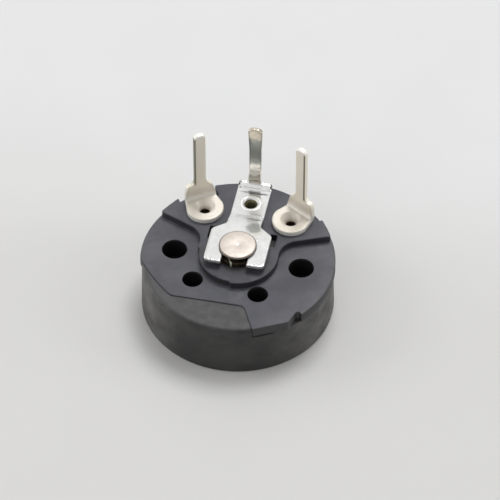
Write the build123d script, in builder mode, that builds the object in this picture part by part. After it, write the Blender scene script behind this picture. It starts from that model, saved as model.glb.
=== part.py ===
from build123d import *
import os
from math import cos, hypot, radians, sin, tan

# A round carbon potentiometer lying on its front face, pins up.
# Millimetres. Z is the rotor axis, z = 0 is the front face, +Y points to the terminals.

# Base plate: round, with a flat and a key tab that seat in the cup's rim
base_radius = 8.25
base_top = 5.2
flange_thickness = 1.0
base_underside = 2.9
flat_distance = 5.15
flat_corner_x = -4.7
flat_start_angle = 189.8
flat_bulge = 0.22
tab_root_x = 1.55
tab_left_angle = 290.0
tab_right_angle = 311.8
tab_proud = 0.06
notch_angle = 321.4
notch_width = 0.3
outline_corner = 0.5

# Holes moulded into the back of the base plate
hole_depth = 2.0
big_hole_radius = 1.07
big_hole_spread = 5.45
small_hole_radius = 0.87
small_hole_left = (-3.25, -3.05)
small_hole_right = (2.45, -3.65)

# Raised platform that carries the terminals: a fan joined to a boss round the shaft
platform_height = 0.7
fan_inset = 0.15
fan_edge_slope = 21.9
fan_edge_offset = 0.5
fan_blend = 1.8
boss_radius = 3.45
boss_step = 0.17
rim_cut_width = 3.4
rim_cut_setback = 0.22
pocket_reach = 2.9
pocket_near = 1.25
pocket_far = 2.65
pocket_width = 0.6
pocket_depth = 0.55
edge_round = 0.08

# Cup
foot_inset = 0.05
rim_inset = 0.17
cup_floor = 0.8
chamber_radius = 6.8
land_drop = 0.1
land_round = 0.45
foot_chamfer = 0.2
seam_gap = 0.06
window_radius = 3.0
window_chamfer = 0.25

# Rotor, shaft and stops
travel = 135.0
running_gap = 0.05
rotor_recess = 0.2
rotor_radius = 4.0
rotor_thickness = 0.8
lug_length = 0.85
lug_half_angle = 14.0
stop_gap_angle = 0.5
slot_width = 0.9
slot_depth = 0.75
slot_end_wall = 0.5
shaft_radius = 1.6
shaft_flat = 1.2
shaft_seat_depth = 0.5
collar_radius = 2.2
collar_thickness = 0.25
neck_radius = 1.05
head_thickness = 0.2
peg_radius = 0.3
peg_circle = 2.62
peg_height = 0.25

# Wiper and resistive element
board_thickness = 0.4
track_thickness = 0.05
track_radius = 4.1
track_width = 0.9
pad_start_angle = 33.0
pad_end_angle = 50.0
pad_reach = 0.95
contact_gap = 0.04
wiper_thickness = 0.15
wiper_outer = 3.15
finger_width = 0.75
finger_slit = 0.2
finger_tip_length = 0.25
contact_bump = 0.14

# Side terminals
terminal_thickness = 0.5
terminal_x = 3.72
terminal_y = 4.27
terminal_turn = 30.0
eye_radius = 1.6
bend_distance = 1.1
bend_radius = 0.3
bend_half_width = 1.36
shoulder_half_width = 1.16
shoulder_height = 2.05
pin_width = 1.0
pin_top = 13.8
pin_root_fillet = 0.38
shoulder_round = 0.22
pin_tip_round = 0.36

# Centre terminal
strap_thickness = 0.35
strap_half_width = 1.45
strap_rise = 0.45
step_near = 2.95
step_far = 4.05
fork_half_width = 2.6
fork_front = 1.93
fork_shoulder = 1.7
neck_start = 2.55
fork_corner = 0.42
strap_hole_y = 5.55
lip_setback = 0.5
lip_height = 0.75
lip_corner = 0.25
strap_bend = 0.3
centre_pin_half_width = 0.52
centre_pin_flare = 0.1
flare_length = 2.4
kink_rise = 0.9
kink_reach = 0.4
centre_pin_top = 13.25
tip_chamfer = 0.28

# Eyelets
eyelet_outer = 0.58
eyelet_bore = 0.4
eyelet_head = 0.88
eyelet_cone = 0.3
side_funnel_depth = 1.0
strap_funnel_depth = 0.4
eyelet_flange = 0.95
eyelet_flange_thickness = 0.15
eyelet_gap = 0.03

# Levels worked out from the sizes above
seat_top = base_top - flange_thickness
land_top = base_top - land_drop
platform_top = base_top + platform_height
board_underside = base_underside - board_thickness
track_underside = board_underside - track_thickness
rotor_underside = cup_floor + 2 * running_gap
rotor_top = rotor_underside + rotor_thickness
wiper_top = rotor_top + wiper_thickness
collar_top = wiper_top + collar_thickness
shaft_bottom = rotor_top - shaft_seat_depth
fork_underside = platform_top + strap_rise
fork_top = fork_underside + strap_thickness
neck_bottom = fork_underside - running_gap
neck_top = fork_top + running_gap
terminal_top = platform_top + terminal_thickness
strap_top = platform_top + strap_thickness

# Radii and distances worked out from the sizes above
cup_foot_radius = base_radius - foot_inset
cup_rim_radius = base_radius - rim_inset
fan_radius = base_radius - fan_inset
lip_y = base_radius - lip_setback - strap_thickness
spigot_radius = chamber_radius - running_gap
chamber_flat = flat_distance - 2 * seam_gap
spigot_flat = chamber_flat - running_gap
lug_radius = rotor_radius + lug_length
lug_path = lug_radius + 3 * running_gap
rotor_path = rotor_radius + 3 * running_gap
stop_half_angle = 180 - travel - lug_half_angle - stop_gap_angle
eyelet_hole = eyelet_outer + eyelet_gap
fork_slot = neck_radius + running_gap
track_inner = track_radius - track_width / 2
track_outer = track_radius + track_width / 2
pad_outer = hypot(terminal_x, terminal_y) + pad_reach
side_eyes = [(-terminal_x, terminal_y), (terminal_x, terminal_y)]
all_eyes = side_eyes + [(0, strap_hole_y)]
peg_places = [(-peg_circle, 0), (peg_circle, 0)]


def polar(radius, angle):
    return (radius * cos(radians(angle)), radius * sin(radians(angle)))


def corner(sketch, x, y):
    """The sketch's corner nearest to a point."""
    return sketch.vertices().sort_by_distance((x, y, 0))[0]


def ring_sector(inner, outer, middle, half):
    """Face between two radii, half degrees each side of the middle angle."""
    with BuildSketch() as sector:
        with BuildLine():
            outside = CenterArc((0, 0), outer, middle - half, 2 * half)
            inside = CenterArc((0, 0), inner, middle - half, 2 * half)
            Line(outside @ 0, inside @ 0)
            Line(outside @ 1, inside @ 1)
        make_face()
    return sector.sketch


def flatted_circle(radius, flat):
    """Circle cut off by the flat at the front."""
    with BuildSketch() as shape:
        Circle(radius)
        with Locations((0, -flat)):
            Rectangle(2 * radius, radius, align=(Align.CENTER, Align.MAX), mode=Mode.SUBTRACT)
    return shape.sketch


# Outline of the base plate: rim, slanting run to the flat, flat, key tab, notch
rim_start = polar(base_radius, flat_start_angle)
rim_end = polar(base_radius, notch_angle)
tab_left = polar(base_radius - 3 * tab_proud, tab_left_angle)
tab_right = polar(base_radius + tab_proud, tab_right_angle)
notch_right = (rim_end[0] - notch_width / 2, rim_end[1] + notch_width)
notch_left = (notch_right[0] - notch_width, notch_right[1] - notch_width / 4)

with BuildSketch() as base_outline:
    with BuildLine():
        CenterArc((0, 0), base_radius, notch_angle - 360, flat_start_angle - notch_angle + 360)
        SagittaArc(rim_start, (flat_corner_x, -flat_distance), flat_bulge)
        Polyline(
            (flat_corner_x, -flat_distance),
            (tab_root_x, -flat_distance),
            tab_left,
            tab_right,
            notch_left,
            notch_right,
            rim_end,
        )
    make_face()
    fillet(
        [
            corner(base_outline, flat_corner_x, -flat_distance),
            corner(base_outline, tab_root_x, -flat_distance),
        ],
        outline_corner,
    )

# Area of the cup's rim that shows beside the flat
with BuildSketch() as land_area:
    with BuildLine():
        Polyline(
            (0, 0),
            (-1.2 * base_radius, 0),
            (-1.2 * base_radius, -1.2 * base_radius),
            polar(1.2 * base_radius, tab_left_angle + 2),
            close=True,
        )
    make_face()
    offset(base_outline.sketch, amount=seam_gap, mode=Mode.SUBTRACT)

# Cup: turned outside, chamber for the rotor, seat for the base plate, land at the flat
chamber_outline = flatted_circle(chamber_radius, chamber_flat)
stop_outline = ring_sector(rotor_path, lug_path, 90, stop_half_angle)

with BuildPart() as housing_cup:
    with BuildSketch(Plane.XZ) as cup_profile:
        Polygon((0, 0), (cup_foot_radius, 0), (cup_rim_radius, land_top), (0, land_top))
        chamfer(corner(cup_profile, cup_foot_radius, 0), foot_chamfer)
        fillet(corner(cup_profile, cup_rim_radius, land_top), land_round)
    revolve(axis=Axis.Z)
    with BuildSketch(Plane.XY.offset(seat_top)):
        Circle(1.5 * base_radius)
        add(land_area.sketch, mode=Mode.SUBTRACT)
    extrude(amount=flange_thickness, mode=Mode.SUBTRACT)
    with BuildSketch(Plane.XY.offset(cup_floor)):
        add(chamber_outline)
    extrude(amount=seat_top - cup_floor, mode=Mode.SUBTRACT)
    with BuildSketch(Plane.XY.offset(cup_floor)):
        add(stop_outline)
    extrude(amount=rotor_top - cup_floor)
    with BuildSketch():
        Circle(window_radius)
    extrude(amount=cup_floor, mode=Mode.SUBTRACT)
    window_edge = housing_cup.edges().filter_by(GeomType.CIRCLE).group_by(Axis.Z)[0].sort_by(SortBy.RADIUS)[0]
    chamfer(window_edge, window_chamfer)
housing_cup.part.label = "housing_cup"

# Outline of the raised platform: fan and boss, cut back behind each side terminal
fan_rise = base_radius * tan(radians(fan_edge_slope))

with BuildSketch() as platform_outline:
    with BuildLine():
        Polyline(
            (0, fan_edge_offset),
            (base_radius, fan_edge_offset + fan_rise),
            (base_radius, 2 * base_radius),
            (-base_radius, 2 * base_radius),
            (-base_radius, fan_edge_offset + fan_rise),
            close=True,
        )
    make_face()
    Circle(fan_radius, mode=Mode.INTERSECT)
    Circle(boss_radius)
    fillet(
        [
            corner(platform_outline, -boss_radius, fan_edge_offset + boss_radius / 3),
            corner(platform_outline, boss_radius, fan_edge_offset + boss_radius / 3),
        ],
        fan_blend,
    )
    add(ring_sector(boss_radius - boss_step, 2 * boss_radius, 225, 45), mode=Mode.SUBTRACT)
    for side in (-1, 1):
        with Locations(Location((side * terminal_x, terminal_y, 0), (0, 0, -side * terminal_turn))):
            with Locations((0, bend_distance + rim_cut_setback)):
                Rectangle(
                    rim_cut_width, base_radius, align=(Align.CENTER, Align.MIN), mode=Mode.SUBTRACT
                )

# Base plate: flange, spigot, platform, shaft bore, eyelet holes, pockets and blind holes
spigot_outline = flatted_circle(spigot_radius, spigot_flat)

with BuildPart() as base_plate:
    with BuildSketch(Plane.XY.offset(seat_top)):
        add(base_outline.sketch)
    extrude(amount=flange_thickness)
    flange_edges = base_plate.faces().sort_by(Axis.Z)[-1].outer_wire().edges()
    chamfer(flange_edges, edge_round)
    with BuildSketch(Plane.XY.offset(base_underside)):
        add(spigot_outline)
    extrude(amount=seat_top - base_underside)
    with BuildSketch(Plane.XY.offset(base_top)):
        add(platform_outline.sketch)
    extrude(amount=platform_height)
    platform_edges = base_plate.faces().sort_by(Axis.Z)[-1].outer_wire().edges()
    chamfer(platform_edges, edge_round)
    with BuildSketch(Plane.XY.offset(platform_top)):
        with Locations((-pocket_reach, pocket_near)):
            Rectangle(pocket_width, pocket_far - pocket_near, align=Align.MIN)
        with Locations((pocket_reach, pocket_far)):
            Rectangle(pocket_width, pocket_far - pocket_near, align=Align.MAX)
    extrude(amount=-pocket_depth, mode=Mode.SUBTRACT)
    with BuildSketch(Plane.XY.offset(base_top)):
        with Locations((-big_hole_spread, 0), (big_hole_spread, 0)):
            Circle(big_hole_radius)
        with Locations(small_hole_left, small_hole_right):
            Circle(small_hole_radius)
    extrude(amount=-hole_depth, mode=Mode.SUBTRACT)
    with BuildSketch(Plane.XY.offset(base_underside)):
        Circle(shaft_radius + running_gap)
        with Locations(all_eyes):
            Circle(eyelet_hole)
    extrude(amount=platform_top - base_underside, mode=Mode.SUBTRACT)
base_plate.part.label = "base_plate"

# Element board
with BuildPart() as element_board:
    with BuildSketch(Plane.XY.offset(board_underside)):
        add(spigot_outline)
        Circle(shaft_radius + 4 * running_gap, mode=Mode.SUBTRACT)
        with Locations(all_eyes):
            Circle(eyelet_hole, mode=Mode.SUBTRACT)
    extrude(amount=board_thickness)
element_board.part.label = "element_board"

# Carbon track, open between the two end pads
track_outline = ring_sector(track_inner, track_outer, -90, 180 - pad_end_angle)

with BuildPart() as carbon_track:
    with BuildSketch(Plane.XY.offset(track_underside)):
        add(track_outline)
    extrude(amount=track_thickness)
carbon_track.part.label = "carbon_track"

# Silver pads from the ends of the track to the side eyelets
pad_middle = (pad_start_angle + pad_end_angle) / 2
pad_half = (pad_end_angle - pad_start_angle) / 2
pad_outlines = [ring_sector(track_inner, pad_outer, 90 + side * pad_middle, pad_half) for side in (-1, 1)]

with BuildPart() as end_pads:
    with BuildSketch(Plane.XY.offset(track_underside)):
        add(pad_outlines)
        with Locations(side_eyes):
            Circle(eyelet_hole, mode=Mode.SUBTRACT)
    extrude(amount=track_thickness)
end_pads.part.label = "end_pads"

# Rotor: hub with the screwdriver slot, disc, stop lug, seat for the shaft, two pegs
lug_outline = ring_sector(rotor_radius / 2, lug_radius, -90, lug_half_angle)

with BuildPart() as rotor:
    with BuildSketch(Plane.XY.offset(rotor_recess)):
        Circle(window_radius - running_gap)
    extrude(amount=rotor_underside - rotor_recess)
    with BuildSketch(Plane.XY.offset(rotor_underside)):
        Circle(rotor_radius)
        add(lug_outline)
    extrude(amount=rotor_thickness)
    with BuildSketch(Plane.XY.offset(rotor_recess)):
        Circle(window_radius - slot_end_wall)
        Rectangle(2 * window_radius, slot_width, mode=Mode.INTERSECT)
    extrude(amount=slot_depth, mode=Mode.SUBTRACT)
    with BuildSketch(Plane.XY.offset(shaft_bottom)):
        Circle(shaft_radius)
        Rectangle(2 * shaft_flat, 2 * shaft_radius, mode=Mode.INTERSECT)
    extrude(amount=shaft_seat_depth, mode=Mode.SUBTRACT)
    with BuildSketch(Plane.XY.offset(rotor_top)):
        with Locations(peg_places):
            Circle(peg_radius)
    extrude(amount=peg_height)
rotor.part.label = "rotor"

# Shaft: flatted foot in the rotor, collar on the wiper, groove for the fork, head
with BuildPart() as pivot_shaft:
    with BuildSketch(Plane.XY.offset(shaft_bottom)):
        Circle(shaft_radius)
        Rectangle(2 * shaft_flat, 2 * shaft_radius, mode=Mode.INTERSECT)
    extrude(amount=shaft_seat_depth)
    with BuildSketch(Plane.XZ) as shaft_profile:
        Polygon(
            (0, rotor_top),
            (shaft_radius, rotor_top),
            (shaft_radius, wiper_top),
            (collar_radius, wiper_top),
            (collar_radius, collar_top),
            (shaft_radius, collar_top),
            (shaft_radius, neck_bottom),
            (neck_radius, neck_bottom),
            (neck_radius, neck_top),
            (shaft_radius, neck_top),
            (shaft_radius, neck_top + head_thickness),
            (0, neck_top + head_thickness),
        )
        chamfer(corner(shaft_profile, shaft_radius, neck_top + head_thickness), head_thickness / 3)
        chamfer(corner(shaft_profile, shaft_radius, neck_bottom), running_gap)
    revolve(axis=Axis.Z)
pivot_shaft.part.label = "pivot_shaft"

# Wiper: ring on the rotor with two sprung fingers that end in contact bumps
finger_top = track_underside - contact_gap - contact_bump
finger_tip = track_radius + finger_tip_length
finger_knee = track_radius - finger_tip_length

with BuildPart() as wiper_spring:
    with BuildSketch(Plane.YZ):
        Polygon(
            (-collar_radius, rotor_top),
            (-collar_radius, wiper_top),
            (-wiper_outer, wiper_top),
            (-finger_knee, finger_top),
            (-finger_tip, finger_top),
            (-finger_tip, finger_top - wiper_thickness),
            (-finger_knee, finger_top - wiper_thickness),
            (-wiper_outer, rotor_top),
        )
        with Locations((-track_radius, finger_top)):
            Circle(contact_bump)
    extrude(amount=finger_width + finger_slit / 2, both=True)
    with BuildSketch(Plane.XY.offset(rotor_top)):
        with Locations((0, -wiper_outer)):
            Rectangle(finger_slit, finger_tip, align=(Align.CENTER, Align.MAX))
    extrude(amount=board_underside - rotor_top, mode=Mode.SUBTRACT)
    with BuildSketch(Plane.XY.offset(rotor_top)):
        Circle(wiper_outer)
        Circle(shaft_radius, mode=Mode.SUBTRACT)
        with Locations(peg_places):
            Circle(peg_radius, mode=Mode.SUBTRACT)
    extrude(amount=wiper_thickness)
wiper_spring.part.label = "wiper_spring"

# Side terminal, made about its eye with its pin at +Y: bent strip cut to its two outlines
strip_middle = terminal_thickness / 2
upright_y = bend_distance + strip_middle
pin_back = bend_distance + terminal_thickness

with BuildSketch(Plane.XY.offset(platform_top)) as eye_outline:
    Circle(eye_radius)
    Polygon(
        (-eye_radius, 0),
        (eye_radius, 0),
        (bend_half_width, bend_distance),
        (bend_half_width, pin_back),
        (-bend_half_width, pin_back),
        (-bend_half_width, bend_distance),
    )

with BuildSketch(Plane.XZ.offset(-pin_back)) as pin_outline:
    with BuildLine():
        Polyline(
            (0, platform_top),
            (bend_half_width, platform_top),
            (bend_half_width, terminal_top + bend_radius),
            (shoulder_half_width, platform_top + shoulder_height),
            (pin_width / 2, platform_top + shoulder_height),
            (pin_width / 2, pin_top),
            (0, pin_top),
            close=True,
        )
    make_face()
    fillet(corner(pin_outline, pin_width / 2, platform_top + shoulder_height), pin_root_fillet)
    fillet(corner(pin_outline, shoulder_half_width, platform_top + shoulder_height), shoulder_round)
    fillet(corner(pin_outline, pin_width / 2, pin_top), pin_tip_round)
    mirror(about=Plane.YZ)

with BuildPart() as terminal_outlines:
    extrude(eye_outline.sketch, amount=terminal_thickness + bend_radius)
    extrude(pin_outline.sketch, amount=terminal_thickness + bend_radius)


def funnel_seat(top):
    """Tapered hole that takes an eyelet's flared head, about the Z axis."""
    with BuildPart() as seat:
        with BuildSketch(Plane.XZ):
            Polygon(
                (0, platform_top),
                (eyelet_hole, platform_top),
                (eyelet_hole, top - eyelet_cone),
                (eyelet_head + eyelet_gap, top),
                (0, top),
            )
        revolve(axis=Axis.Z)
    return seat.part


side_seat = funnel_seat(terminal_top)
strap_seat = funnel_seat(strap_top).moved(Location((0, strap_hole_y, 0)))

with BuildPart() as terminal:
    with BuildLine(Plane.YZ) as strip_path:
        FilletPolyline(
            (-eye_radius, platform_top + strip_middle),
            (upright_y, platform_top + strip_middle),
            (upright_y, pin_top),
            radius=bend_radius + strip_middle,
        )
    with BuildSketch(Plane.XZ.offset(eye_radius)):
        with Locations((0, platform_top + strip_middle)):
            Rectangle(2 * eye_radius, terminal_thickness)
    sweep()
    add(terminal_outlines.part, mode=Mode.INTERSECT)
    add(side_seat, mode=Mode.SUBTRACT)

terminal_left = terminal.part.moved(Location((-terminal_x, terminal_y, 0), (0, 0, terminal_turn)))
terminal_right = mirror(terminal_left, about=Plane.YZ)
terminal_left.label = "terminal_left"
terminal_right.label = "terminal_right"

# Centre terminal: one bent strip from the fork, down a step, over the platform and up the pin
strap_middle = strap_thickness / 2
strap_upright = lip_y + strap_middle
strap_back = lip_y + strap_thickness
lip_top = platform_top + lip_height

with BuildSketch(Plane.XY.offset(platform_top)) as strap_outline:
    Polygon(
        (-fork_half_width, -fork_front),
        (fork_half_width, -fork_front),
        (fork_half_width, fork_shoulder),
        (strap_half_width, neck_start),
        (strap_half_width, strap_back),
        (-strap_half_width, strap_back),
        (-strap_half_width, neck_start),
        (-fork_half_width, fork_shoulder),
    )
    front_half = strap_outline.vertices().group_by(Axis.Y)
    fillet(front_half[0] + front_half[1] + front_half[2], fork_corner)
    Circle(fork_slot, mode=Mode.SUBTRACT)
    Rectangle(2 * fork_slot, 2 * fork_front, align=(Align.CENTER, Align.MAX), mode=Mode.SUBTRACT)

with BuildSketch(Plane.XZ.offset(-strap_back)) as lip_outline:
    with BuildLine():
        Polyline(
            (0, platform_top),
            (strap_half_width, platform_top),
            (strap_half_width, lip_top),
            (centre_pin_half_width, lip_top),
            (centre_pin_half_width, centre_pin_top - flare_length),
            (centre_pin_half_width + centre_pin_flare, centre_pin_top - tip_chamfer),
            (centre_pin_half_width - tip_chamfer, centre_pin_top),
            (0, centre_pin_top),
            close=True,
        )
    make_face()
    fillet(corner(lip_outline, strap_half_width, lip_top), lip_corner)
    mirror(about=Plane.YZ)

with BuildPart() as strap_outlines:
    extrude(strap_outline.sketch, amount=strap_rise + 2 * strap_thickness)
    extrude(lip_outline.sketch, amount=strap_thickness + 2 * kink_reach)

with BuildPart() as centre_terminal:
    with BuildLine(Plane.YZ) as strap_path:
        FilletPolyline(
            (-fork_front, fork_underside + strap_middle),
            (step_near, fork_underside + strap_middle),
            (step_far, platform_top + strap_middle),
            (strap_upright, platform_top + strap_middle),
            (strap_upright, lip_top),
            (strap_upright - kink_reach, lip_top + kink_rise),
            (strap_upright, lip_top + 2 * kink_rise),
            (strap_upright, centre_pin_top),
            radius=strap_bend,
        )
    with BuildSketch(Plane.XZ.offset(fork_front)):
        with Locations((0, fork_underside + strap_middle)):
            Rectangle(2 * fork_half_width, strap_thickness)
    sweep()
    add(strap_outlines.part, mode=Mode.INTERSECT)
    add(strap_seat, mode=Mode.SUBTRACT)
centre_terminal.part.label = "centre_terminal"


def eyelet(place, top, seat, funnel_depth):
    """Hollow rivet flared into a funnel at its top and rolled flat under its seat."""
    bottom = seat - eyelet_flange_thickness
    with BuildPart() as piece:
        with BuildSketch(Plane(origin=(place[0], place[1], 0), x_dir=(1, 0, 0), z_dir=(0, -1, 0))):
            Polygon(
                (eyelet_bore, bottom),
                (eyelet_bore, top - funnel_depth),
                (eyelet_outer, top - eyelet_cone / 3),
                (eyelet_head, top),
                (eyelet_outer, top - eyelet_cone),
                (eyelet_outer, seat),
                (eyelet_flange, seat),
                (eyelet_flange, bottom),
            )
        revolve(axis=Axis((place[0], place[1], 0), (0, 0, 1)))
    return piece.part


eyelets = {
    "eyelet_left": eyelet(side_eyes[0], terminal_top, track_underside, side_funnel_depth),
    "eyelet_right": eyelet(side_eyes[1], terminal_top, track_underside, side_funnel_depth),
    "eyelet_centre": eyelet((0, strap_hole_y), strap_top, board_underside, strap_funnel_depth),
}
for name, piece in eyelets.items():
    piece.label = name

pieces = [
    housing_cup.part,
    base_plate.part,
    element_board.part,
    carbon_track.part,
    end_pads.part,
    rotor.part,
    pivot_shaft.part,
    wiper_spring.part,
    terminal_left,
    terminal_right,
    centre_terminal.part,
    *eyelets.values(),
]

os.makedirs("parts", exist_ok=True)
for piece in pieces:
    export_step(piece, f"parts/{piece.label}.step")
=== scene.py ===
import math

import bpy
import numpy as np
from mathutils import Matrix, Vector, geometry


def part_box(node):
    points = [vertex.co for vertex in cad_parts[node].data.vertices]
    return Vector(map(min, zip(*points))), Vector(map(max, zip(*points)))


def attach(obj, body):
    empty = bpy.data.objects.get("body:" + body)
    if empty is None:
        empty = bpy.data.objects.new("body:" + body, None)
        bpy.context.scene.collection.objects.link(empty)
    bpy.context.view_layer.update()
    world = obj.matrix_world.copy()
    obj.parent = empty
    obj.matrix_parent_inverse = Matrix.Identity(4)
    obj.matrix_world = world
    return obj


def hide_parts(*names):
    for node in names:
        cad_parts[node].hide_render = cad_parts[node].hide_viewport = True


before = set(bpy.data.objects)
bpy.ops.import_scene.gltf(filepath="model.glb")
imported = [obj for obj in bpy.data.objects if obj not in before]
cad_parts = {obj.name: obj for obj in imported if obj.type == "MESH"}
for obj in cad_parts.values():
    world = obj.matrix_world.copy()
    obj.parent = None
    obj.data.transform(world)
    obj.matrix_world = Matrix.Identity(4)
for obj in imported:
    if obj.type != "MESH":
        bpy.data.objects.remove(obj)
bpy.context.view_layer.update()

# Potentiometer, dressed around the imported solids. Lengths are millimetres until a mesh is made.
MM = 0.001

# Clearances
running_gap = 0.05
seam_gap = 0.03

# Base plate
base_radius = 8.25
seat_top = 4.2
base_top = 5.2
base_underside = 2.9
flat_y = -5.15
flat_corner_x = -4.7
flat_start_angle = 189.8
flat_bulge = 0.22
tab_root_x = 1.55
tab_left_angle = 290.0
tab_right_angle = 311.8
tab_proud = 0.06
notch_angle = 321.4
notch_width = 0.3
outline_corner = 0.5
hole_floor = 3.2
big_hole_radius = 1.07
small_hole_radius = 0.87
big_holes = [(-5.45, 0.0), (5.45, 0.0)]
small_holes = [(-3.25, -3.05), (2.45, -3.65)]
edge_round = 0.09
seat_round = 0.03
mouth_round = 0.04
small_mouth_round = 0.025

# Platform
platform_top = 5.9
fan_radius = 8.1
fan_slope = 21.9
fan_offset = 0.5
fan_blend = 1.8
boss_radius = 3.45
boss_step = 0.17
rim_cut_half = 1.7
rim_cut_start = 1.32
pocket_floor = 5.35
pocket_inner = 2.3
pocket_outer = 2.9
pocket_near = 1.25
pocket_far = 2.65

# Cup
foot_radius = 8.2
foot_round = 0.2
half_height = 2.2
rim_radius = 8.08
land_top = 5.1
land_round = 0.42
land_end_angle = 296
cup_floor = 0.8
chamber_radius = 6.8
chamber_flat = 5.03
window_radius = 3.0
window_chamfer = 0.25
stop_inner = 4.15
stop_outer = 5.0
stop_half_angle = 30.5

# Rotor
rotor_front = 0.2
rotor_underside = 0.9
rotor_top = 1.7
rotor_radius = 4.0
lug_radius = 4.85
lug_half_angle = 14.0
driver_slot_half = 0.45
driver_slot_depth = 0.75
driver_slot_wall = 0.5

# Shaft
shaft_foot_radius = 1.2
shaft_bottom = 1.2
shaft_radius = 1.6
wiper_top = 1.85
collar_radius = 2.2
collar_top = 2.1
neck_radius = 1.05
neck_bottom = 6.3
neck_top = 6.75
shaft_top = 6.95

# Side terminals
terminal_thickness = 0.5
terminal_x = 3.72
terminal_y = 4.27
terminal_turn = 30.0
eye_radius = 1.6
bend_distance = 1.1
bend_radius = 0.55
bend_half = 1.36
bend_top = 6.7
shoulder_half = 1.16
shoulder_height = 2.05
pin_half = 0.5
pin_top = 13.8

# Centre terminal
strap_thickness = 0.35
strap_half = 1.45
strap_rise = 0.45
strap_hole_y = 5.55
strap_bend = 0.3
step_near = 2.95
step_far = 4.05
fork_half = 2.6
fork_front = 1.93
fork_shoulder = 1.7
fork_neck = 2.55
lip_y = 7.4
lip_height = 0.75
kink_reach = 0.4
kink_rise = 0.9
centre_pin_half = 0.52
centre_pin_flare = 0.62
centre_pin_tip = 0.34
flare_length = 2.4
tip_chamfer = 0.28
centre_pin_top = 13.25

# Eyelets
eyelet_outer = 0.58
eyelet_bore = 0.4
eyelet_head = 0.88
eyelet_cone = 0.3
eyelet_hole = 0.61
eyelet_flange = 0.95
eyelet_flange_thickness = 0.15
side_seat = 2.45
strap_seat = 2.5
side_funnel = 1.0
strap_funnel = 0.4

# Levels and places worked out from the sizes above
strap_top = platform_top + strap_thickness
terminal_top = platform_top + terminal_thickness
left_eye = (-terminal_x, terminal_y)
right_eye = (terminal_x, terminal_y)
strap_eye = (0, strap_hole_y)


# Lines in a plane


def arc(centre, radius, start, end):
    """Points centre + radius (cos a, sin a), with a running from start to end degrees."""
    turn = np.radians(np.linspace(start, end, 3 + int(abs(end - start) / 2)))
    return np.column_stack((centre[0] + radius * np.cos(turn), centre[1] + radius * np.sin(turn)))


def polar(radius, angle):
    return np.array([radius * math.cos(math.radians(angle)), radius * math.sin(math.radians(angle))])


def turned(points, turn, shift):
    """Points turned by an angle in degrees about the origin, then shifted."""
    c, s = math.cos(math.radians(turn)), math.sin(math.radians(turn))
    return np.asarray(points, float) @ np.array([[c, s], [-s, c]]) + np.asarray(shift, float)


def rounded(corners):
    """A closed line through (x, y, radius) corners, where an arc of each radius touches both sides of its
    corner."""
    parts = []
    for k, (x, y, radius) in enumerate(corners):
        here = np.array([x, y], float)
        back = np.array(corners[k - 1][:2], float) - here
        ahead = np.array(corners[(k + 1) % len(corners)][:2], float) - here
        back, ahead = back / np.hypot(*back), ahead / np.hypot(*ahead)
        half = 0.5 * math.acos(float(np.clip(back @ ahead, -1, 1)))
        if radius == 0 or half > 1.55:
            parts.append(here[None])
            continue
        middle = (back + ahead) / np.hypot(*(back + ahead))
        centre = here + middle * radius / math.sin(half)
        first = here + back * radius / math.tan(half) - centre
        last = here + ahead * radius / math.tan(half) - centre
        start = math.atan2(first[1], first[0])
        sweep = (math.atan2(last[1], last[0]) - start + math.pi) % (2 * math.pi) - math.pi
        turn = start + np.linspace(0, 1, 12) * sweep
        parts.append(centre + radius * np.column_stack((np.cos(turn), np.sin(turn))))
    return np.vstack(parts)


def even(points, step):
    """The same closed line with a point every step, found by its running length."""
    loop = np.vstack((points, points[:1]))
    length = np.concatenate(([0], np.cumsum(np.hypot(*np.diff(loop, axis=0).T))))
    count = int(length[-1] / step)
    at = np.arange(count) * length[-1] / count
    return np.column_stack([np.interp(at, length, loop[:, k]) for k in (0, 1)])


def soft(points, blur, step=0.06):
    """A closed line whose corners are eased: every point is the Gaussian mean of the line near it."""
    line = even(points, step)
    reach = int(4 * blur / step) + 1
    weight = np.exp(-0.5 * (np.arange(-reach, reach + 1) * step / blur) ** 2)
    longer = np.concatenate((line[-reach:], line, line[:reach]))
    return np.column_stack([np.convolve(longer[:, k], weight / weight.sum(), "valid") for k in (0, 1)])


def signed_area(line):
    return 0.5 * np.sum(line[:, 0] * np.roll(line[:, 1], -1) - np.roll(line[:, 0], -1) * line[:, 1])


def outer(line):
    """The line run anticlockwise, as the outside of a solid is."""
    return line if signed_area(line) > 0 else line[::-1]


def hole(line):
    """The line run clockwise, as an opening is."""
    return outer(line)[::-1]


def circle(centre, radius, count=96):
    turn = 2 * np.pi * np.arange(count) / count
    return np.column_stack((centre[0] + radius * np.cos(turn), centre[1] + radius * np.sin(turn)))


def into(line):
    """Unit normals on the left of a closed line, where its material is."""
    along = np.roll(line, -1, 0) - np.roll(line, 1, 0)
    along /= np.hypot(*along.T)[:, None]
    return np.column_stack((-along[:, 1], along[:, 0]))


def room(line, most, reach=6):
    """The easing that each point of a line allows: at most 0.6 of the radius of its tightest bend nearby,
    where the radius is the step over the turn of heading, then averaged along the line."""
    step = np.roll(line, -1, 0) - line
    before = np.roll(step, 1, 0)
    bend = step[:, 1] * before[:, 0] - step[:, 0] * before[:, 1]
    length = np.hypot(*step.T)
    tight = np.maximum(bend, 1e-9) / (length * np.hypot(*before.T))
    allowed = np.minimum(0.6 * length / tight, most)
    allowed = np.min([np.roll(allowed, k) for k in range(-reach, reach + 1)], axis=0)
    return np.mean([np.roll(allowed, k) for k in range(-reach // 2, reach // 2 + 1)], axis=0)


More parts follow.
